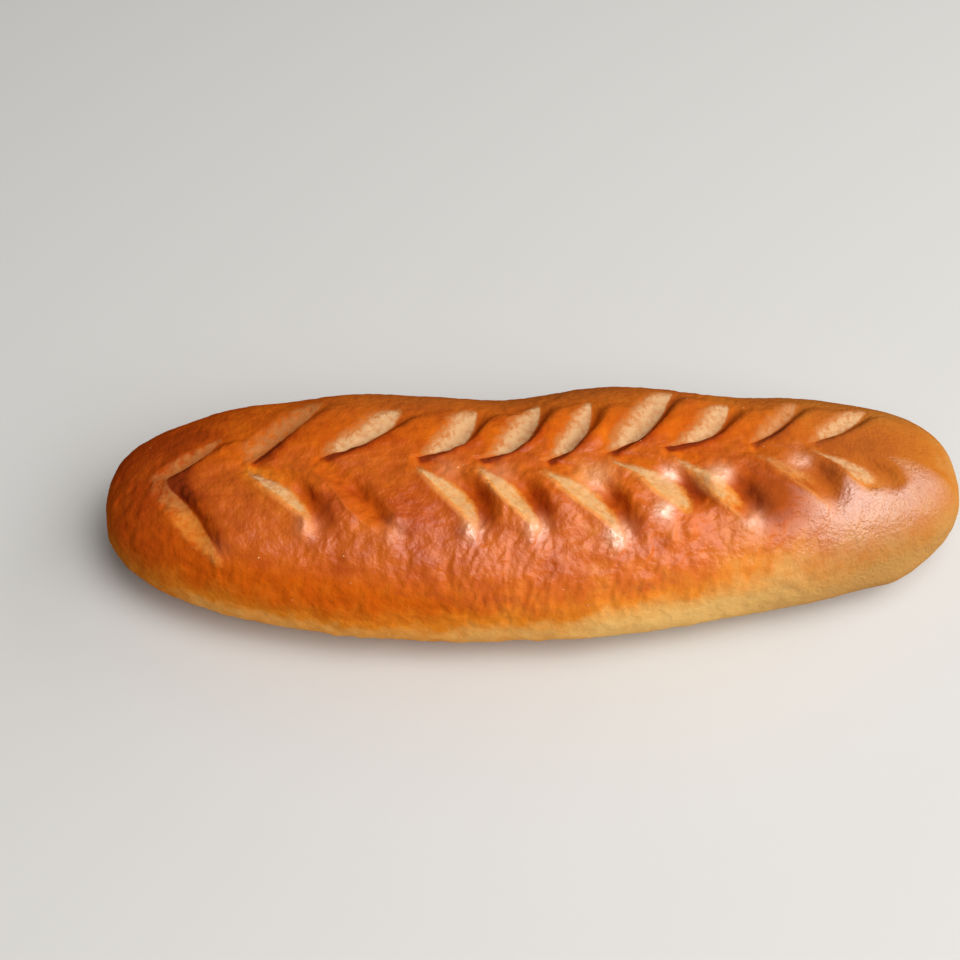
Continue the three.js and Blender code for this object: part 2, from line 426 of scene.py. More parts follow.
@dataclass(frozen=True)
class LoafForm:
    """The loaf's shape: a plain body, and the relief of its cuts and pillows over it."""

    length: float = 320
    width: float = 101
    height: float = 58
    waist_height: float = 20
    underside_drop: float = 24
    crown_squareness: float = 2.5
    underside_squareness: float = 2.1
    bluntness_left: float = 2.6
    bluntness_right: float = 2.8
    right_taper: float = 0.095
    taper_length: float = 88
    bow: float = 10
    girth_radius: float = 42
    swells: tuple[Swell, ...] = field(default_factory=default_swells)
    # Patches of uneven bake, with painted shade on slopes turned from the light and painted sheen on pillow
    # tops.
    toast_and_painted_light: tuple[Swell, ...] = field(default_factory=default_toast_and_painted_light)
    # Painted sheen on the pillow tips.
    sheen_and_pale_crust: tuple[Swell, ...] = field(default_factory=default_sheen_and_pale_crust)
    cuts: tuple[Cut, ...] = field(default_factory=default_cuts)
    back_arm: ArmKind = ArmKind(full=0.4, close=0.85, closing=0.3, bend=0.6, shoulder=3.0, lip_rise=0.2)
    front_arm: ArmKind = ArmKind(full=0.24, close=0.82, closing=0.3, bend=0.7, shoulder=4.0, lip_rise=2.0)
    arm_fade_start: float = 0.74
    arm_fade_end: float = 1.02
    wander: float = 0.6
    wander_length: float = 5
    wander_step: float = 2
    lip_fade: float = 6
    lip_full: float = 0.35
    lip_end_start: float = 0.6
    lip_end: float = 1.0
    face_hollow: float = 1.4
    pillow_rise: float = 2.4
    full_depth: float = 3.8
    pillow_fade: float = 15
    shoulder_rounding: float = 1.6
    apex_rounding: float = 1
    apex_blend: float = 5
    apex_opening: float = 0.25
    plain_opening: float = 0.75
    apex_depth: float = 0.15
    deepening_start: float = 0.2
    deepening_end: float = 0.55
    back_apex_depth: float = 0.25
    back_deepening: float = 0.35
    crest_rounding: float = 12
    crest_start: float = 1
    crest_end: float = 10
    knob: Spot = Spot(along=-3.4, round=3.6, rise=0.6, radius=4.6)
    dimple: Spot = Spot(along=0.8, round=1.5, rise=-0.4, radius=3.2)
    # The gleam marks painted sheen and more gloss on each knob.
    gleam: Spot = Spot(along=-1.8, round=3.6, rise=1.0, radius=3.8)
    gleam_knob: float = 3.2
    gleam_power: int = 3
    lump_rise: float = 0.5
    lump_length: float = 9
    lump_slope_along: float = 1 / 2
    lump_slope_round: float = 1 / 3
    lump_fade_start: float = 60
    lump_fade_end: float = 90
    marks: CutMarks = CutMarks()
    edge_samples: int = 40

    def fullness(self, x: Array) -> Array:
        """How full the loaf is.

        Args:
            x: Places along the loaf.

        Returns:
            The fullness, from 0 at the tips to 1 in the middle.
        """
        share = np.clip(np.abs(x) / (self.length / 2), 0.0, 1.0)
        bluntness = np.where(x < 0, self.bluntness_left, self.bluntness_right)
        return (1 - share**bluntness) ** (1 / bluntness)

    def body_radius(self, x: Array, angle: Array) -> Array:
        """Radius of the plain body.

        Args:
            x: Places along the loaf.
            angle: Angles from straight up, to +Y positive.

        Returns:
            The distance of the plain crust from the waist's middle.
        """
        full = np.maximum(self.fullness(x), 1e-6)
        taper = 1 - self.right_taper * smoothstep(x, 0, self.taper_length)
        side = self.width / 2 * full * taper
        upper = np.abs(angle) <= math.pi / 2
        rise = np.where(upper, self.height - self.waist_height, self.underside_drop) * full
        squareness = np.where(upper, self.crown_squareness, self.underside_squareness)
        across = np.abs(np.sin(angle) / side) ** squareness
        up = np.abs(np.cos(angle) / rise) ** squareness
        return (across + up) ** (-1 / squareness)

    def place(self, index: int, girth: Array) -> Placement:
        """Find a cut at each girth place.

        Args:
            index: Which cut, from the left.
            girth: Girth places, as arc lengths from the crest.

        Returns:
            The cut's place and the sizes of its section.
        """
        cut = self.cuts[index]
        side = girth - cut.girth
        back, front = self.back_arm, self.back_arm if cut.plain else self.front_arm

        def by_side(back: float, front: float) -> Array:
            """Take one number on the back arm and another on the front arm."""
            return np.where(side > 0, back, front)

        def share_of(rounding: float) -> Array:
            """Share of the arm's reach, with the cut's point rounded off."""
            reach = by_side(cut.back.reach, cut.front.reach)
            return (np.hypot(side, rounding) - rounding) / (np.hypot(reach, rounding) - rounding)

        def line(along: Array, bend: Any) -> Array:
            """Find a line that curls with the arm.

            Args:
                along: Share of the arm's reach.
                bend: Power that bends the curl.

            Returns:
                The line's places along the loaf.
            """
            along = np.minimum(along, 1)
            curled = np.sin(along**bend * math.pi / 2)
            path = lerp(along, curled, by_side(cut.back.curl, cut.front.curl))
            return cut.x + by_side(cut.back.run, cut.front.run) * path + stray

        closed = by_side(cut.back.closed, cut.front.closed)
        closing = by_side(back.closing, front.closing)
        stray = self.wander * np.sin(girth / self.wander_length + index * self.wander_step)
        share = share_of(self.apex_rounding)
        gape = np.sin(np.minimum(share / by_side(back.full, front.full), 1) * math.pi / 2)
        gape = lerp(self.plain_opening if cut.plain else self.apex_opening, 1, gape)
        shut = by_side(back.close, front.close) * smoothstep(share, closed - closing, closed + closing)
        on_back = smoothstep(side, -self.apex_blend, self.apex_blend)
        to_back = np.ones(side.shape) if cut.plain else on_back
        front_deep = lerp(self.apex_depth, 1, smoothstep(share, self.deepening_start, self.deepening_end))
        back_deep = lerp(self.back_apex_depth, 1, smoothstep(share, 0, self.back_deepening))
        deep = lerp(front_deep, back_deep, to_back)
        widest = lerp(cut.front.gape, cut.back.gape, on_back)
        slant = lerp(cut.front.slant, cut.back.slant, on_back)
        return Placement(
            share=share,
            valley=line(share, by_side(back.bend, front.bend)),
            crest=line(share_of(self.crest_rounding), 1),
            open=widest * slant * gape * (1 - shut),
            slant=slant,
            depth=cut.depth * deep,
            pillow=self.pillow_rise * deep * cut.depth / self.full_depth,
            shoulder=lerp(self.front_arm.shoulder, self.back_arm.shoulder, to_back),
            lip_rise=lerp(self.front_arm.lip_rise, self.back_arm.lip_rise, to_back)
            * smoothstep(share, 0, self.lip_full)
            * (1 - smoothstep(share, self.lip_end_start, self.lip_end)),
            pale=lerp(cut.front.pale, cut.back.pale, on_back),
            to_back=to_back,
            pale_end=by_side(cut.back.pale_end, cut.front.pale_end),
        )

    def arm_section(self, x: Array, at: Placement) -> Array:
        """Height of the section across an arm.

        Args:
            x: Places along the loaf.
            at: The cut's place.

        Returns:
            The relief of the torn lip, the pale face, and the next pillow's shoulder.
        """
        distance = (x - at.valley) * at.slant
        lip = at.lip_rise * np.exp(np.minimum(distance + at.open, 0) / self.lip_fade)
        up = np.clip(-distance / at.open, 0, 1)
        climb = lerp(up**self.face_hollow, smoothstep(up, 0, 1), at.to_back)
        face = lerp(-at.depth, at.lip_rise, climb)
        rounded = (x - at.crest) * at.slant
        away = lerp(distance, rounded, smoothstep(distance, self.crest_start, self.crest_end))
        past = np.maximum(away, 0)
        flank = np.exp(-((past / at.shoulder) ** self.shoulder_rounding))
        pillow = at.pillow * bell(past, self.pillow_fade) - (at.depth + at.pillow) * flank
        return np.where(distance < -at.open, lip, np.where(distance < 0, face, pillow))

    def relief(self, x: Array, girth: Array) -> tuple[Array, dict[Attribute, Array]]:
        """Relief of the crust over the plain body, and the masks that its finish reads.

        Args:
            x: Places along the loaf, a grid of rows and columns.
            girth: Girth places, one for each column.

        Returns:
            The relief in millimetres, and each mask, about 0 to 1.
        """
        girth = np.broadcast_to(girth, x.shape)
        lump_along = np.sin((x + girth * self.lump_slope_along) / self.lump_length)
        lump_round = np.sin((girth - x * self.lump_slope_round) / self.lump_length)
        on_crown = 1 - smoothstep(np.abs(girth), self.lump_fade_start, self.lump_fade_end)
        height = self.lump_rise * lump_along * lump_round * on_crown
        for swell in self.swells:
            height = height + swell.over(x, girth)
        masks = {name: np.zeros(x.shape) for name in Attribute}
        # Patches of uneven bake, painted shade and painted sheen.
        for patch in self.toast_and_painted_light:
            masks[Attribute.TOAST_AND_PAINTED_LIGHT] = masks[Attribute.TOAST_AND_PAINTED_LIGHT] + patch.over(x, girth)
        # Painted sheen on the pillow tips.
        for patch in self.sheen_and_pale_crust:
            masks[Attribute.SHEEN_SPOT] = np.maximum(masks[Attribute.SHEEN_SPOT], patch.over(x, girth))
        for index, cut in enumerate(self.cuts):
            at = self.place(index, girth)
            strength = 1 - smoothstep(at.share, self.arm_fade_start, self.arm_fade_end)
            height = height + strength * self.arm_section(x, at)
            height = height + cut.knob * (self.knob.over(cut, x, girth) + self.dimple.over(cut, x, girth))
            distance = (x - at.valley) * at.slant
            # Painted sheen and more gloss at the knob's end, the stronger the higher the knob.
            gleaming = min((cut.knob / self.gleam_knob) ** self.gleam_power, 1)
            for name, mark in (
                *self.marks.arm(distance, at, strength).items(),
                (Attribute.FLANK_BAKE_AND_SHADE, self.baked_and_shaded_edge(index, x, girth)),
                (Attribute.SHEEN_SPOT, gleaming * self.gleam.over(cut, x, girth)),
            ):
                masks[name] = np.maximum(masks[name], mark)
        return height * self.fullness(x), masks

    def baked_and_shaded_edge(self, index: int, x: Array, girth: Array) -> Array:
        """Dark edge of the pillow below a back arm.

        Args:
            index: Which cut, from the left.
            x: Places along the loaf.
            girth: Girth places.

        Returns:
            The mask of the edge.
        """
        cut = self.cuts[index]
        if cut.plain:
            return np.zeros(x.shape)
        # Dark edge below the arm: browner bake, with painted shade under the pillow's overhang.
        reached = cut.girth + np.linspace(0, cut.back.reach, self.edge_samples)
        line = np.interp(x, self.place(index, reached).valley, reached)
        return self.marks.baked_and_shaded_edge(line - girth, (x - cut.x) / cut.back.run)


@dataclass(frozen=True)
class CrustMesh:
    """The fine mesh of the crust: rows that follow the cuts, and columns that crowd on the crown."""

    form: LoafForm = field(default_factory=LoafForm)
    rows_left: int = 34
    rows_face: int = 12
    rows_shoulder: int = 8
    rows_pillow: int = 9
    rows_right: int = 40
    columns: int = 258
    crown_density: float = 0.62
    straighten_start: float = 36
    straighten_end: float = 105
    straight_face: float = 10
    straight_shoulder: float = 7
    spread: Span = (0.8, 1.3)
    shoulder_share: float = 1.3
    least_spacing: float = 0.6
    least_face: float = 5

    def angles(self) -> Array:
        """Angle of each column, from one side of the base's seam round to the other."""
        even = np.arange(self.columns) * 2 / self.columns - 1
        return math.pi * lerp(even**3, even, self.crown_density)

    def rows(self, girth: Array) -> Array:
        """Place every row along the loaf, at each girth place.

        Args:
            girth: Girth places of the columns.

        Returns:
            A grid of x, rows by columns, without the two tips.
        """
        form = self.form
        below = smoothstep(np.abs(girth), self.straighten_start, self.straighten_end)
        stations = [np.full(girth.shape, -form.length / 2)]
        counts = [self.rows_left]
        for index, cut in enumerate(form.cuts):
            at = form.place(index, girth)
            middle = lerp(at.valley, cut.x + (cut.back.run + cut.front.run) / 2, below)
            spread = smoothstep(at.share, *self.spread)
            face = np.maximum(at.open / at.slant, self.least_face)
            shoulder = self.shoulder_share * at.shoulder / at.slant
            stations += [
                middle - lerp(face, self.straight_face, spread),
                middle,
                middle + lerp(shoulder, self.straight_shoulder, spread),
            ]
            counts += [self.rows_face, self.rows_shoulder, self.rows_pillow]
        counts[-1] = self.rows_right
        stations.append(np.full(girth.shape, form.length / 2))
        for step in range(1, len(stations) - 1):
            stations[step] = np.maximum(stations[step], stations[step - 1] + self.least_spacing)
        grid = []
        last = len(counts) - 1
        for step, count in enumerate(counts):
            share = np.arange(count)[:, None] / count
            if step == 0:
                share = 1 - np.cos(share * math.pi / 2)
            elif step == last:
                share = np.sin(share * math.pi / 2)
            grid.append(lerp(stations[step][None, :], stations[step + 1][None, :], share))
        return np.concatenate(grid)[1:]

    def build(self, name: str) -> bpy.types.Object:
        """Make the crust as a mesh object on the loaf's solid.

        Args:
            name: The object's name.

        Returns:
            The object, with the masks as vertex attributes.
        """
        form = self.form
        angle = self.angles()
        girth = angle * form.girth_radius
        x = self.rows(girth)
        relief, masks = form.relief(x, girth)
        radius = form.body_radius(x, angle[None, :]) + relief
        y = radius * np.sin(angle) - form.bow * (1 - (x / (form.length / 2)) ** 2)
        z = np.maximum(form.waist_height + radius * np.cos(angle), 0)
        tips = np.array([[-form.length / 2, 0, form.waist_height], [form.length / 2, 0, form.waist_height]])
        points = np.concatenate([np.stack([x, y, z], -1).reshape(-1, 3), tips]) * MM
        points += self.offset(points)
        mesh = bpy.data.meshes.new(name)
        mesh.from_pydata(points.tolist(), [], self.faces(len(x)))
        mesh.shade_smooth()
        for attribute, mask in masks.items():
            values = np.concatenate([mask.ravel(), [0.0, 0.0]]).astype(np.float32)
            mesh.attributes.new(attribute.value, "FLOAT", "POINT").data.foreach_set("value", values)
        piece = bpy.data.objects.new(name, mesh)
        bpy.context.scene.collection.objects.link(piece)
        return piece

    def offset(self, points: Array) -> Array:
        """Shift that brings the crust onto the solid.

        Args:
            points: The crust's points.

        Returns:
            The shift to the middle and the base of the solid's box.
        """
        low, high = (np.array(corner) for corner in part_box(NODE))
        shift = (low + high) / 2 - (points.min(0) + points.max(0)) / 2
        shift[2] = low[2] - points[:, 2].min()
        return shift

    def faces(self, rows: int) -> list[tuple[int, ...]]:
        """Faces of the crust, with a fan at each tip.

        Args:
            rows: How many rows of points lie between the tips.

        Returns:
            The vertex numbers of each face, turned outwards.
        """
        count = self.columns
        left, right = rows * count, rows * count + 1
        column = np.arange(count)
        after = (column + 1) % count
        quads = [
            np.stack([row * count + column, (row + 1) * count + column,
                      (row + 1) * count + after, row * count + after], -1)
            for row in range(rows - 1)
        ]
        faces = [tuple(face) for face in np.concatenate(quads).tolist()]
        end = (rows - 1) * count
        faces += [(left, int(a), int(b)) for a, b in zip(column, after)]
        faces += [(right, int(end + b), int(end + a)) for a, b in zip(column, after)]
        return faces


class Value:
    """A socket in a node tree. Arithmetic on it adds Math nodes."""

    def __init__(self, graph: "Graph", socket: bpy.types.NodeSocket) -> None:
        """Wrap a socket of a graph's tree."""
        self.graph = graph
        self.socket = socket

    def __add__(self, other: Any) -> "Value":
        """Sum of two values."""
        return self.graph.math("ADD", self, other)

    __radd__ = __add__

    def __mul__(self, other: Any) -> "Value":
        """Product of two values."""
        return self.graph.math("MULTIPLY", self, other)

    __rmul__ = __mul__

    def __sub__(self, other: Any) -> "Value":
        """Difference of two values."""
        return self.graph.math("SUBTRACT", self, other)

    def __rsub__(self, other: Any) -> "Value":
        """Difference of a number and this value."""
        return self.graph.math("SUBTRACT", other, self)

    def ease(self, low: float, high: float) -> "Value":
        """Ease from 0 at low to 1 at high."""
        return self.graph.add(
            "ShaderNodeMapRange",
            {"interpolation_type": "SMOOTHSTEP"},
            {"Value": self, "From Min": low, "From Max": high},
        )

    def clamp(self) -> "Value":
        """Keep the value between 0 and 1."""
        return self.graph.add("ShaderNodeClamp", {}, {"Value": self})


class Graph:
    """A shader or geometry node tree in the making."""

    MIXED_COLOUR = 2
    NOISE_AVERAGE = 0.5

    def __init__(self, tree: bpy.types.NodeTree) -> None:
        """Start on a tree."""
        self.tree = tree

    def make(self, kind: str, settings: dict[str, Any], inputs: dict[Any, Any]) -> bpy.types.Node:
        """Make a node.

        Args:
            kind: The node's type.
            settings: Its properties, set before its sockets. A ramp's stops go under "stops".
            inputs: Values or links of its sockets, by name or number.

        Returns:
            The node.
        """
        node = self.tree.nodes.new(kind)
        for name, setting in settings.items():
            if name == "stops":
                self.set_stops(node, setting)
            else:
                setattr(node, name, setting)
        for key, given in inputs.items():
            self.feed(node, key, given)
        return node

    def add(self, kind: str, settings: dict[str, Any], inputs: dict[Any, Any],
            output: str | int = 0) -> Value:
        """Make a node and take one of its outputs.

        Args:
            kind: The node's type.
            settings: Its properties.
            inputs: Values or links of its sockets.
            output: Which output to return.

        Returns:
            The output as a value.
        """
        return Value(self, self.make(kind, settings, inputs).outputs[output])

    def split(self, vector: Value) -> tuple[Value, Value, Value]:
        """Split a vector into its three parts."""
        x, y, z = self.make("ShaderNodeSeparateXYZ", {}, {0: vector}).outputs
        return Value(self, x), Value(self, y), Value(self, z)

    @staticmethod
    def set_stops(node: bpy.types.Node, stops: Sequence[tuple[float, Colour]]) -> None:
        """Give a colour ramp its stops.

        Args:
            node: The ramp.
            stops: Each stop's place and colour.
        """
        elements = node.color_ramp.elements
        while len(elements) < len(stops):
            elements.new(1.0)
        for element, (place, colour) in zip(elements, stops):
            element.position = place
            element.color = colour

    def feed(self, node: bpy.types.Node, key: str | int, given: Any) -> None:
        """Link a value to a node's socket, or set the socket.

        Args:
            node: The node.
            key: The socket's name or number. An enabled socket of that name is taken.
            given: A value to link, or a plain number, vector, colour or data-block.
        """
        if isinstance(key, int):
            socket = node.inputs[key]
        else:
            socket = next(s for s in node.inputs if s.name == key and s.enabled)
        if isinstance(given, Value):
            self.tree.links.new(given.socket, socket)
        else:
            socket.default_value = given

    def math(self, operation: str, first: Any, second: Any) -> Value:
        """Add a Math node."""
        return self.add("ShaderNodeMath", {"operation": operation}, {0: first, 1: second})

    def scaled(self, vector: Value, factor: Any) -> Value:
        """Multiply a vector.

        Args:
            vector: The vector.
            factor: A value, or a plain vector.

        Returns:
            The product.
        """
        if isinstance(factor, Value):
            inputs = {"Vector": vector, "Scale": factor}
            return self.add("ShaderNodeVectorMath", {"operation": "SCALE"}, inputs)
        return self.add("ShaderNodeVectorMath", {"operation": "MULTIPLY"}, {0: vector, 1: factor})

    def noise(self, vector: Value, size: float, detail: float = 2.0,
              stretch: Sequence[float] = (1, 1, 1)) -> Value:
        """Add a noise pattern.

        Args:
            vector: Where it is read, in metres.
            size: Width of its features, in millimetres.
            detail: How many finer octaves it has.
            stretch: How much longer its features are along each axis.

        Returns:
            The noise, about 0.5 on average.
        """
        frequency = tuple(1 / (size * MM * share) for share in stretch)
        place = self.scaled(vector, frequency)
        return self.add("ShaderNodeTexNoise", {}, {"Vector": place, "Scale": 1.0, "Detail": detail})

    def mix(self, factor: Any, first: Any, second: Any) -> Value:
        """Mix two colours."""
        inputs = {"Factor": factor, "A": first, "B": second}
        return self.add("ShaderNodeMix", {"data_type": "RGBA"}, inputs, self.MIXED_COLOUR)


class MaterialGraph(Graph):
    """The node tree of a new material."""

    def __init__(self, name: str) -> None:
        """Start an empty material.

        Args:
            name: The material's name.
        """
        self.material = bpy.data.materials.new(name)
        self.material.use_nodes = True
        super().__init__(self.material.node_tree)
        self.tree.nodes.clear()

    def place(self) -> Value:
        """Object coordinates."""
        return self.add("ShaderNodeTexCoord", {}, {}, "Object")

    def mark(self, attribute: Attribute) -> Value:
        """Read one of the crust's vertex attributes."""
        return self.add("ShaderNodeAttribute", {"attribute_name": attribute.value}, {}, "Fac")

    def surface(self, inputs: dict[str, Any]) -> Value:
        """Add a plain shader."""
        return self.add("ShaderNodeBsdfPrincipled", {}, inputs)

    def close(self, shader: Value) -> bpy.types.Material:
        """End the tree in the material's output."""
        self.make("ShaderNodeOutputMaterial", {}, {"Surface": shader})
        return self.material


class Tint(NamedTuple):
    """A colour laid over the crust, and how strongly."""

    colour: Colour
    strength: float

    def over(self, graph: Graph, colour: Value, mask: Value) -> Value:
        """Lay the tint over a colour where a mask says."""
        return graph.mix(mask * self.strength, colour, self.colour)


class Grain(NamedTuple):
    """A noise pattern: the width of its features in millimetres, its finer octaves and its strength."""

    size: float
    detail: float
    strength: float

    def read(self, graph: Graph, place: Value) -> Value:
        """The pattern, about 0 on average."""
        return (graph.noise(place, self.size, self.detail) - graph.NOISE_AVERAGE) * self.strength


class CrustPlace:
    """What the crust's finish reads at a point: where it lies, the loaf's regions and the masks.

    Spans are places along the loaf, towards its back or up, in metres.
    """

    LEFT_TIP: Span = (-0.155, -0.12)
    LEFT_HALF: Span = (-0.08, 0.0)
    LEFT_LOW: Span = (0.036, 0.05)
    RIGHT_END: Span = (0.075, 0.13)
    BEHIND: Span = (-0.016, -0.002)

    def __init__(self, graph: MaterialGraph) -> None:
        """Add the nodes that the regions and masks need to a material.

        Args:
            graph: The material's graph.
        """
        self.point = graph.place()
        self.along, self.back, self.up = graph.split(self.point)
        self.left_tip = 1 - self.along.ease(*self.LEFT_TIP)
        self.left_low = (1 - self.along.ease(*self.LEFT_HALF)) * (1 - self.up.ease(*self.LEFT_LOW))
        self.right_end = self.along.ease(*self.RIGHT_END)
        self.behind = self.back.ease(*self.BEHIND)
        self.pale = graph.mark(Attribute.PALE)
        self.lip = graph.mark(Attribute.LIP)
        # Flanks, folds and pillow edges: browner bake with painted shade.
        self.flank = graph.mark(Attribute.FLANK_BAKE_AND_SHADE)
        # Painted sheen on knobs and pillow tips, which also raises the gloss there.
        self.knob = graph.mark(Attribute.SHEEN_SPOT).clamp()
        # Patches of uneven bake, painted shade and painted sheen.
        self.toast_and_painted_light = graph.mark(Attribute.TOAST_AND_PAINTED_LIGHT)
        self.dull = graph.mark(Attribute.DULL)


@dataclass(frozen=True)
class CrustBakeAndShade:
    """Bake plus painted shade and light: darker to the left and in toasted patches, paler at the base.

    Spans, rises and wavers are places along the loaf or up, in metres.
    """

    level: float = 0.66
    # Darker to the left: browner bake, and painted shade at the end away from the light.
    left_end: Span = (-0.165, -0.1)
    left_gain: float = 0.12
    right_half: Span = (-0.04, 0.08)
    right_loss: float = 0.06
    blotch: Grain = Grain(16.0, 2.0, 1.0)
    blotch_gain: float = 0.32
    mottle: Grain = Grain(4.0, 3.0, 0.2)
    # Paler low down: less bake, and painted light on the underside that the lamps hardly reach.
    side: Span = (0.016, 0.046)
    side_rise: float = 0.01
    side_waver: float = 0.012
    side_loss: float = 0.12
    side_right_loss: float = 0.24
    base: Span = (0.018, 0.037)
    base_waver: float = 0.005
    base_loss: float = 0.3
    base_right_loss: float = 0.04
    toast_limit: float = 0.86
    flank_gain: float = 0.34
    flank_end_loss: float = 0.8
    limit: float = 0.96

    def read(self, graph: Graph, at: CrustPlace) -> Value:
        """How far the crust has baked at a point, with its painted shade and painted light.

        Args:
            graph: The material's graph.
            at: What is read at the point.

        Returns:
            The bake with its painted shade and light, from 0 for bare crumb to 1 for dark crust.
        """
        left_end = 1 - at.along.ease(*self.left_end)
        right_half = at.along.ease(*self.right_half)
        blotch = self.blotch.read(graph, at.point)
        # Darker to the left and a little lighter to the right: browner bake, and painted shade at the left
        # end, which faces away from the light.
        level = self.level + left_end * self.left_gain - right_half * self.right_loss
        level = level + blotch * self.blotch_gain + self.mottle.read(graph, at.point)
        # Paler low on the sides and at the base: less bake, and painted light where the lamps hardly reach
        # the underside.
        side = 1 - (at.up - right_half * self.side_rise + blotch * self.side_waver).ease(*self.side)
        base = 1 - (at.up + blotch * self.base_waver).ease(*self.base)
        level = level - side * (self.side_loss + right_half * self.side_right_loss)
        level = level - base * (self.base_loss + right_half * self.base_right_loss)
        # Patches: uneven bake, painted shade on slopes turned from the light, painted sheen on pillow tops.
        level = graph.math("MINIMUM", level + at.toast_and_painted_light, self.toast_limit)
        # Flanks, folds and pillow edges: browner bake, and painted shade where they turn from the light.
        flank = at.flank * (1 - at.right_end * self.flank_end_loss)
        return graph.math("MINIMUM", level + flank * self.flank_gain, self.limit).clamp()


@dataclass(frozen=True)
class CrustGloss:
    """Where the egg wash shines: most at the right end and on the knobs, least where it is bare or low.

    Spans and the shift at the right end are places along the loaf, towards its back or up, in metres.
    """

    plain: float = 0.2
    end_gain: float = 0.8
    knob_gain: float = 0.7
    knob_run: Span = (-0.07, -0.03)
    end_shift: float = 0.004
    far: Span = (-0.002, 0.014)
    low: Span = (0.024, 0.05)
    bare_loss: float = 0.8
    left_loss: float = 0.8
    toast_loss: float = 4.0
    dull_loss: float = 0.7

    def read(self, at: CrustPlace, bare: Value) -> Value:
        """Share of glazed crust at a point.

        Args:
            at: What is read at the point.
            bare: How bare of crust it is.

        Returns:
            The share, 0 to 1.
        """
        shift = at.right_end * self.end_shift
        far = (at.back + shift).ease(*self.far)
        low = 1 - (at.up - shift).ease(*self.low)
        left = at.left_tip + at.left_low * self.left_loss
        dull = (at.toast_and_painted_light * self.toast_loss).clamp() + at.dull * self.dull_loss + at.flank
        matt = (bare * self.bare_loss + far + low + left + dull).clamp()
        shine = at.knob * at.along.ease(*self.knob_run) * self.knob_gain
        return (self.plain + at.right_end * self.end_gain + shine).clamp() * (1 - matt * (1 - shine))


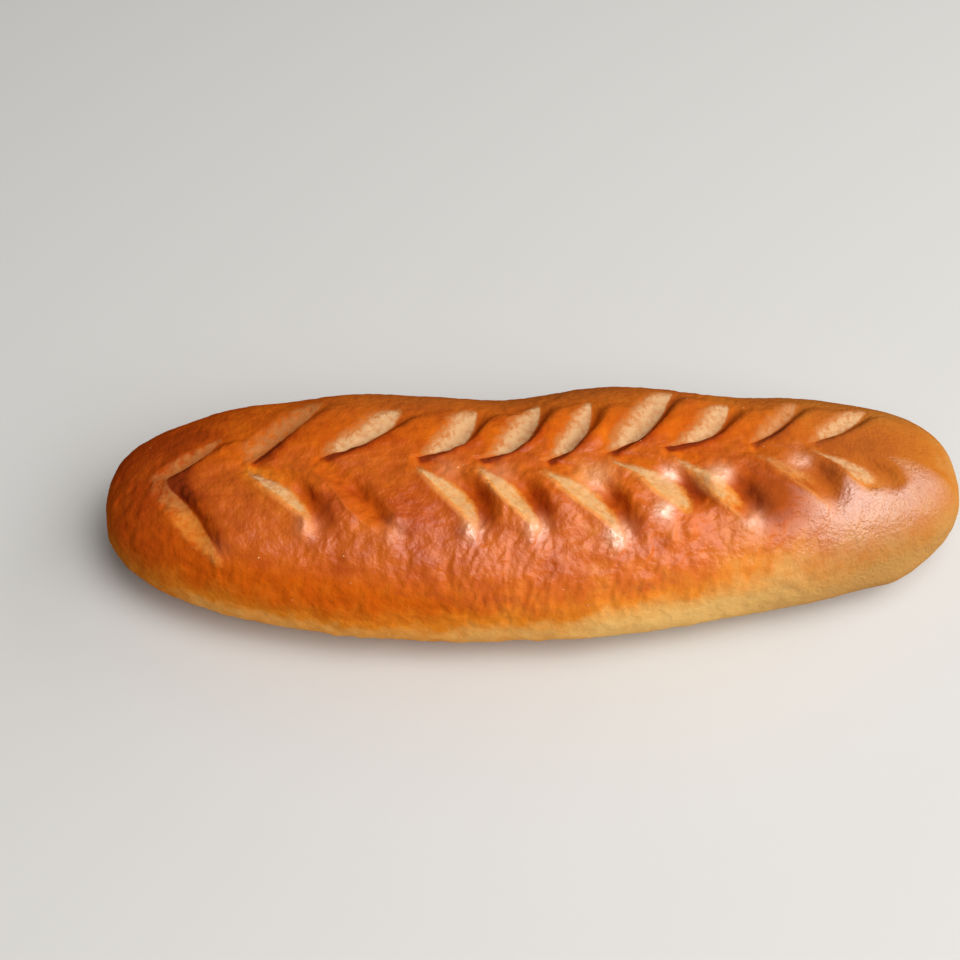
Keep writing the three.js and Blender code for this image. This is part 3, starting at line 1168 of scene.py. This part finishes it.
@dataclass(frozen=True)
class CrustFinish:
    """Egg-washed crust: colours by bake with painted shade and sheen, the cuts' bare faces, and its gloss.

    Spans of the tints are places along the loaf, towards its back or up, in metres. The others are parts of
    a mask or a pattern.
    """

    pale: Colour = srgb(224, 175, 102)
    golden: Colour = srgb(226, 160, 82)
    amber: Colour = srgb(220, 127, 34)
    orange: Colour = srgb(202, 96, 18)
    brown: Colour = srgb(170, 67, 14)
    dark: Colour = srgb(116, 40, 16)
    # Bake, with painted shade and painted light in it.
    bake_and_shade: CrustBakeAndShade = CrustBakeAndShade()
    # Dark red-brown at the left tip: browner bake, and painted shade at the end away from the light.
    mahogany: Tint = Tint(srgb(116, 38, 24), 0.35)
    rust: Tint = Tint(srgb(194, 68, 0), 0.3)
    rust_foot: Span = (0.02, 0.035)
    # Painted shade at the right end, which the lamps light more strongly than the rest.
    right_end_shade: Tint = Tint(srgb(146, 88, 38), 0.6)
    right_end_shade_run: Span = (0.05, 0.13)
    # Painted shade on the far side of the loaf, which faces away from the light.
    back_shade: Tint = Tint(srgb(138, 82, 38), 0.5)
    back_shade_span: Span = (0.012, 0.04)
    back_shade_run: Span = (-0.11, -0.04)
    # Painted highlight, golden, along the torn ridge of each front arm.
    ridge_highlight: Tint = Tint(srgb(228, 156, 84), 0.6)
    # Painted sheen on the knobs and pillow tips, over paler crust.
    sheen_and_pale_crust: Tint = Tint(srgb(232, 170, 126), 0.7)
    crumb_back: Colour = srgb(204, 158, 112)
    crumb_front: Colour = srgb(208, 158, 102)
    tan_back: Colour = srgb(182, 108, 54)
    tan_front: Colour = srgb(206, 122, 46)
    crumb_span: Span = (0.35, 0.88)
    fleck_size: float = 2.2
    fleck_detail: float = 3.0
    fleck_span: Span = (0.42, 0.66)
    fleck_fade: Span = (0.6, 0.95)
    fleck_loss: float = 0.6
    tear: Grain = Grain(3.2, 3.0, 0.9)
    fray: Grain = Grain(1.4, 2.0, 0.4)
    tear_rise: Span = (0.02, 0.3)
    tear_fall: Span = (0.45, 0.85)
    tear_loss: float = 0.8
    bare_span: Span = (0.05, 0.55)
    gloss: CrustGloss = CrustGloss()
    sheen_tint: Colour = (1.0, 0.96, 0.93, 1.0)
    sheen_ior: float = 2.6
    roughness: float = 0.38
    end_roughness: float = 0.05
    smear: Grain = Grain(6.0, 3.0, 0.16)
    bare_roughness: float = 0.8
    peel_size: float = 3.2
    peel_depth: float = 0.6
    end_peel_loss: float = 0.5
    pore_size: float = 1.3
    pore_depth: float = 0.2
    end_pore_gain: float = 2.0

    def build(self, name: str) -> bpy.types.Material:
        """Make the material.

        Args:
            name: The material's name.

        Returns:
            The material.
        """
        graph = MaterialGraph(name)
        at = CrustPlace(graph)
        bare = self.bare(graph, at)
        colour = self.colour(graph, at, bare)
        bump = self.bump(graph, at)
        smear = self.smear.read(graph, at.point)
        glazed = graph.surface({
            "Base Color": colour,
            "Roughness": self.roughness + at.right_end * self.end_roughness + smear,
            "Normal": bump,
            "IOR": self.sheen_ior,
            "Specular Tint": self.sheen_tint,
        })
        unglazed = graph.surface({
            "Base Color": colour,
            "Roughness": self.bare_roughness,
            "Normal": bump,
            "Specular IOR Level": 0.0,
        })
        gloss = self.gloss.read(at, bare)
        return graph.close(graph.add("ShaderNodeMixShader", {}, {0: gloss, 1: unglazed, 2: glazed}))

    def bare(self, graph: Graph, at: CrustPlace) -> Value:
        """How bare of crust a point is, with a ragged border round the pale faces.

        Args:
            graph: The material's graph.
            at: What is read at the point.

        Returns:
            The mask, 0 to 1.
        """
        ragged = self.tear.read(graph, at.point) + self.fray.read(graph, at.point)
        border = at.pale.ease(*self.tear_rise) * (1 - at.pale.ease(*self.tear_fall) * self.tear_loss)
        return (at.pale + border * ragged).ease(*self.bare_span)

    def colour(self, graph: Graph, at: CrustPlace, bare: Value) -> Value:
        """Colour of the crust and of the cuts' faces, with painted shade, highlights and sheen laid in.

        Args:
            graph: The material's graph.
            at: What is read at the point.
            bare: How bare of crust it is.

        Returns:
            The colour.
        """
        shades = (self.pale, self.golden, self.amber, self.orange, self.brown, self.dark)
        stops = [(step / (len(shades) - 1), shade) for step, shade in enumerate(shades)]
        colour = graph.add("ShaderNodeValToRGB", {"stops": stops}, {"Fac": self.bake_and_shade.read(graph, at)})
        # Painted shade on the far side, behind the crest.
        back_shade_place = at.back.ease(*self.back_shade_span) * at.along.ease(*self.back_shade_run)
        # Left tip darker: browner bake and painted shade.
        colour = self.mahogany.over(graph, colour, at.left_tip)
        colour = self.rust.over(graph, colour, at.left_low * at.up.ease(*self.rust_foot))
        # Painted shade darkens the right end.
        colour = self.right_end_shade.over(graph, colour, at.along.ease(*self.right_end_shade_run))
        colour = self.back_shade.over(graph, colour, back_shade_place)
        colour = graph.mix(bare, colour, self.face(graph, at))
        # Painted highlight along the torn ridge.
        colour = self.ridge_highlight.over(graph, colour, at.lip * (1 - at.behind))
        # Painted sheen on the knobs and pillow tips.
        return self.sheen_and_pale_crust.over(graph, colour, at.knob)

    def face(self, graph: Graph, at: CrustPlace) -> Value:
        """Colour of a cut's face: crumb, flecked with tan where it is less bare.

        Args:
            graph: The material's graph.
            at: What is read at the point.

        Returns:
            The colour.
        """
        pattern = graph.noise(at.point, self.fleck_size, self.fleck_detail)
        flecks = pattern.ease(*self.fleck_span) * (1 - at.pale.ease(*self.fleck_fade) * self.fleck_loss)
        crumb = graph.mix(at.behind, self.crumb_front, self.crumb_back)
        tan = graph.mix(at.behind, self.tan_front, self.tan_back)
        return graph.mix(at.pale.ease(*self.crumb_span) * (1 - flecks), tan, crumb)

    def bump(self, graph: Graph, at: CrustPlace) -> Value:
        """Peel of the glaze and pores of the crust, deeper pores at the right end.

        Args:
            graph: The material's graph.
            at: What is read at the point.

        Returns:
            The normal.
        """
        peel_depth = self.peel_depth * (1 - at.right_end * self.end_peel_loss)
        pore_depth = self.pore_depth * (1 + at.right_end * self.end_pore_gain)
        height = graph.noise(at.point, self.peel_size) * peel_depth
        height = height + graph.noise(at.point, self.pore_size) * pore_depth
        return graph.add("ShaderNodeBump", {}, {"Strength": 1.0, "Distance": MM, "Height": height})


@dataclass(frozen=True)
class CrumbFinish:
    """Dry crumb of the specks on the crust."""

    light: Colour = srgb(236, 190, 140)
    deep: Colour = srgb(190, 105, 55)
    roughness: float = 0.6
    patch_size: float = 2.5
    patch_detail: float = 1.0
    patch_span: Span = (0.35, 0.65)

    def build(self, name: str) -> bpy.types.Material:
        """Make the material.

        Args:
            name: The material's name.

        Returns:
            The material.
        """
        graph = MaterialGraph(name)
        patches = graph.noise(graph.place(), self.patch_size, self.patch_detail)
        colour = graph.mix(patches.ease(*self.patch_span), self.deep, self.light)
        return graph.close(graph.surface({"Base Color": colour, "Roughness": self.roughness}))


class GeometryGraph(Graph):
    """A geometry node tree with named inputs, used as a modifier and turned into a plain mesh."""

    def __init__(self, name: str) -> None:
        """Start a tree that takes and gives geometry.

        Args:
            name: The tree's name.
        """
        super().__init__(bpy.data.node_groups.new(name, "GeometryNodeTree"))
        self.tree.interface.new_socket("Geometry", in_out="INPUT", socket_type="NodeSocketGeometry")
        self.tree.interface.new_socket("Geometry", in_out="OUTPUT", socket_type="NodeSocketGeometry")
        self.entry = self.make("NodeGroupInput", {}, {})
        self.exit = self.make("NodeGroupOutput", {}, {})
        self.settings: dict[str, float | int] = {}

    @property
    def geometry(self) -> Value:
        """The geometry that comes in."""
        return Value(self, self.entry.outputs["Geometry"])

    def number(self, name: str, value: float | int) -> Value:
        """Add a named input.

        Args:
            name: The input's name.
            value: What the modifier sets it to.

        Returns:
            The input as a value.
        """
        kind = "NodeSocketInt" if isinstance(value, int) else "NodeSocketFloat"
        socket = self.tree.interface.new_socket(name, in_out="INPUT", socket_type=kind)
        self.settings[socket.identifier] = value
        return Value(self, self.entry.outputs[name])

    def mark(self, attribute: Attribute) -> Value:
        """Read one of the crust's vertex attributes."""
        kind = "GeometryNodeInputNamedAttribute"
        return self.add(kind, {"data_type": "FLOAT"}, {"Name": attribute.value})

    def close(self, geometry: Value, material: bpy.types.Material) -> None:
        """End the tree in Realize Instances and Set Material.

        Args:
            geometry: What the tree gives.
            material: The material of it.
        """
        real = self.add("GeometryNodeRealizeInstances", {}, {"Geometry": geometry})
        dressed = self.add("GeometryNodeSetMaterial", {}, {"Geometry": real, "Material": material})
        self.feed(self.exit, "Geometry", dressed)

    def apply(self, piece: bpy.types.Object) -> None:
        """Run the tree on a piece, and keep the result as its plain mesh.

        Args:
            piece: The object, whose mesh is replaced.
        """
        modifier = piece.modifiers.new(self.tree.name, "NODES")
        modifier.node_group = self.tree
        for identifier, value in self.settings.items():
            modifier[identifier] = value
        depsgraph = bpy.context.evaluated_depsgraph_get()
        made = piece.evaluated_get(depsgraph)
        mesh = bpy.data.meshes.new_from_object(made, preserve_all_data_layers=True, depsgraph=depsgraph)
        piece.modifiers.remove(modifier)
        piece.data = mesh
        mesh.name = piece.name


@dataclass(frozen=True)
class Ripple:
    """One pattern of fine relief: its size, its depth, and how far it is drawn out round the girth."""

    size: float
    depth: float
    stretch: float = 1.0


@dataclass(frozen=True)
class CrustTexture:
    """Fine relief of the crust: blisters, drawn-out streaks, side wrinkles, rough faces and ragged lips.

    Ripples are in millimetres. Spans are places along the loaf, towards its back or up, in metres.
    """

    blister: Ripple = Ripple(7.0, 2.0)
    streak: Ripple = Ripple(3.0, 1.5, 2.2)
    wrinkle: Ripple = Ripple(1.8, 2.2, 2.4)
    crumb: Ripple = Ripple(1.4, 0.9)
    lip: Ripple = Ripple(1.8, 0.9)
    lean: float = 0.35
    front: Span = (-0.028, -0.012)
    middle_start: Span = (-0.07, -0.02)
    middle_end: Span = (0.03, 0.08)
    high: Span = (0.02, 0.035)
    calm_right: Span = (0.075, 0.12)
    calm_back: Span = (0.0, 0.02)
    calming: float = 0.6
    base: Span = (0.001, 0.012)

    def apply(self, piece: bpy.types.Object, material: bpy.types.Material) -> None:
        """Move the crust's points out and in.

        Args:
            piece: The crust.
            material: Its material.
        """
        graph = GeometryGraph("crust_texture")
        place = graph.add("GeometryNodeInputPosition", {}, {})
        normal = graph.add("GeometryNodeInputNormal", {}, {})
        x, y, z = graph.split(place)
        leaning = graph.add("ShaderNodeCombineXYZ", {}, {"X": x - y * self.lean, "Y": y, "Z": z})
        front = 1 - y.ease(*self.front)
        middle = x.ease(*self.middle_start) * (1 - x.ease(*self.middle_end))
        high = z.ease(*self.high)
        pale = graph.mark(Attribute.PALE)
        calm_right = 1 - x.ease(*self.calm_right) * self.calming
        calm = calm_right * (1 - y.ease(*self.calm_back) * self.calming)
        waves = (
            self.wave(graph, "Blister", self.blister, place) * calm
            + self.wave(graph, "Streak", self.streak, leaning) * (1 - pale) * high * calm
            + self.wave(graph, "Wrinkle", self.wrinkle, leaning) * front * middle * high
            + self.wave(graph, "Crumb", self.crumb, place) * pale
            + self.wave(graph, "Lip", self.lip, place) * graph.mark(Attribute.LIP)
        )
        offset = graph.scaled(normal, waves * z.ease(*self.base))
        inputs = {"Geometry": graph.geometry, "Offset": offset}
        graph.close(graph.add("GeometryNodeSetPosition", {}, inputs), material)
        graph.apply(piece)

    @staticmethod
    def wave(graph: GeometryGraph, name: str, ripple: Ripple, place: Value) -> Value:
        """Height of one pattern.

        Args:
            graph: The tree, which gets an input for the depth.
            name: What the input is called.
            ripple: The pattern.
            place: Where it is read.

        Returns:
            The height in metres, about 0 on average.
        """
        depth = graph.number(f"{name} Depth", ripple.depth * MM)
        stretch = (1, ripple.stretch, ripple.stretch)
        return (graph.noise(place, ripple.size, stretch=stretch) - graph.NOISE_AVERAGE) * depth


@dataclass(frozen=True)
class Specks:
    """Small grains scattered on the crust, so many to a square metre.

    They start over a span of heights in metres, and are squashed by shares of their radius.
    """

    density: float = 900.0
    radius: float = 0.26
    seed: int = 11
    start: Span = (0.01, 0.03)
    smallest: tuple[float, float, float] = (0.6, 0.6, 0.35)
    largest: tuple[float, float, float] = (1.4, 1.1, 0.7)
    subdivisions: int = 2

    def build(self, name: str, crust: bpy.types.Object, material: bpy.types.Material) -> bpy.types.Object:
        """Scatter the grains as a piece of their own.

        Args:
            name: The piece's name.
            crust: What they lie on.
            material: Their material.

        Returns:
            The grains.
        """
        piece = bpy.data.objects.new(name, crust.data.copy())
        bpy.context.scene.collection.objects.link(piece)
        graph = GeometryGraph(name)
        density = graph.number("Density", self.density)
        radius = graph.number("Radius", self.radius * MM)
        seed = graph.number("Seed", self.seed)
        place = graph.add("GeometryNodeInputPosition", {}, {})
        where = graph.split(place)[2].ease(*self.start)
        surface = graph.make(
            "GeometryNodeDistributePointsOnFaces",
            {},
            {"Mesh": graph.geometry, "Density": density * where, "Seed": seed},
        )
        shape = {"Radius": radius, "Subdivisions": self.subdivisions}
        size = graph.add(
            "FunctionNodeRandomValue",
            {"data_type": "FLOAT_VECTOR"},
            {"Min": self.smallest, "Max": self.largest, "Seed": seed},
        )
        grains = graph.add(
            "GeometryNodeInstanceOnPoints",
            {},
            {
                "Points": Value(graph, surface.outputs["Points"]),
                "Instance": graph.add("GeometryNodeMeshIcoSphere", {}, shape),
                "Rotation": Value(graph, surface.outputs["Rotation"]),
                "Scale": size,
            },
        )
        graph.close(grains, material)
        graph.apply(piece)
        piece.data.shade_smooth()
        return piece


@dataclass(frozen=True)
class SoftLight:
    """A round soft light that looks at the loaf."""

    name: str
    place: tuple[float, float, float]
    size: float
    power: float

    def build(self, target: Vector) -> None:
        """Make the light.

        Args:
            target: The point that it faces.
        """
        data = bpy.data.lights.new(self.name, "AREA")
        data.shape = "DISK"
        data.size = self.size
        data.energy = self.power
        light = bpy.data.objects.new(self.name, data)
        light.location = self.place
        light.rotation_euler = (target - Vector(self.place)).to_track_quat("-Z", "Y").to_euler()
        bpy.context.scene.collection.objects.link(light)


@dataclass(frozen=True)
class Studio:
    """Pale floor, soft light, and the camera at the loaf's viewing angle."""

    floor_size: float = 6.0
    floor_colour: Colour = srgb(206, 204, 200)
    floor_roughness: float = 0.85
    sky_colour: Colour = (1.0, 1.0, 1.0, 1.0)
    sky_strength: float = 0.07
    azimuth: float = -1.8
    elevation: float = 51.0
    distance: float = 0.62
    focus_height: float = 0.025
    focus_x: float = -0.0198
    focus_y: float = 0.0165
    focal_share: float = 1.7067
    sensor: float = 36.0
    lights: tuple[SoftLight, ...] = (
        SoftLight("key_light", (1.45, -1.0, 1.75), 2.3, 51.0),
        SoftLight("top_light", (0.3, -0.2, 1.35), 0.9, 7.5),
        SoftLight("front_light", (-0.1, -0.7, 0.9), 0.5, 1.8),
        SoftLight("fill_light", (1.3, -1.7, 1.0), 1.6, 4.0),
        SoftLight("window_light", (2.0, 0.6, 0.8), 1.8, 22.0),
    )

    def build(self) -> None:
        """Make the floor, the light and the camera."""
        target = Vector((self.focus_x, self.focus_y, self.focus_height))
        self.build_floor()
        self.build_sky()
        for light in self.lights:
            light.build(Vector((0.0, 0.0, self.focus_height)))
        self.build_camera(target)
        bpy.context.scene.view_settings.view_transform = "Standard"

    def build_floor(self) -> None:
        """Lay the floor at the loaf's base."""
        half = self.floor_size / 2
        corners = [(-half, -half, 0), (half, -half, 0), (half, half, 0), (-half, half, 0)]
        mesh = bpy.data.meshes.new("floor")
        mesh.from_pydata(corners, [], [(0, 1, 2, 3)])
        floor = bpy.data.objects.new("floor", mesh)
        bpy.context.scene.collection.objects.link(floor)
        graph = MaterialGraph("floor")
        shader = graph.surface({"Base Color": self.floor_colour, "Roughness": self.floor_roughness})
        mesh.materials.append(graph.close(shader))

    def build_sky(self) -> None:
        """Light the scene evenly from all round."""
        world = bpy.data.worlds.new("sky")
        world.use_nodes = True
        world.node_tree.nodes.clear()
        graph = Graph(world.node_tree)
        inputs = {"Color": self.sky_colour, "Strength": self.sky_strength}
        sky = graph.add("ShaderNodeBackground", {}, inputs)
        graph.make("ShaderNodeOutputWorld", {}, {"Surface": sky})
        bpy.context.scene.world = world

    def build_camera(self, target: Vector) -> None:
        """Set the camera.

        Args:
            target: The point in the middle of the picture.
        """
        data = bpy.data.cameras.new("camera")
        data.sensor_width = self.sensor
        data.lens = self.focal_share * self.sensor
        camera = bpy.data.objects.new("camera", data)
        azimuth, elevation = math.radians(self.azimuth), math.radians(self.elevation)
        back = Vector((
            math.sin(azimuth) * math.cos(elevation),
            -math.cos(azimuth) * math.cos(elevation),
            math.sin(elevation),
        ))
        camera.location = target + back * self.distance
        camera.rotation_euler = (-back).to_track_quat("-Z", "Y").to_euler()
        bpy.context.scene.collection.objects.link(camera)
        bpy.context.scene.camera = camera


def dress(piece: bpy.types.Object, *nodes: str) -> None:
    """Ride a piece on the loaf's body, and hide the CAD nodes that it stands for.

    Args:
        piece: The piece.
        nodes: CAD nodes that it stands for.
    """
    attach(piece, BODY)
    if nodes:
        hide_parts(*nodes)
    LOG.info("%s: %d faces", piece.name, len(piece.data.polygons))


def main() -> None:
    """Build the loaf, then the studio round it."""
    logging.basicConfig(level=logging.INFO)
    crust_finish = CrustFinish().build("crust")
    crumb_finish = CrumbFinish().build("crumb")
    crust = CrustMesh().build("loaf_crust")
    CrustTexture().apply(crust, crust_finish)
    specks = Specks().build("crust_specks", crust, crumb_finish)
    dress(crust, NODE)
    dress(specks)
    Studio().build()


if __name__ == "__main__":
    main()
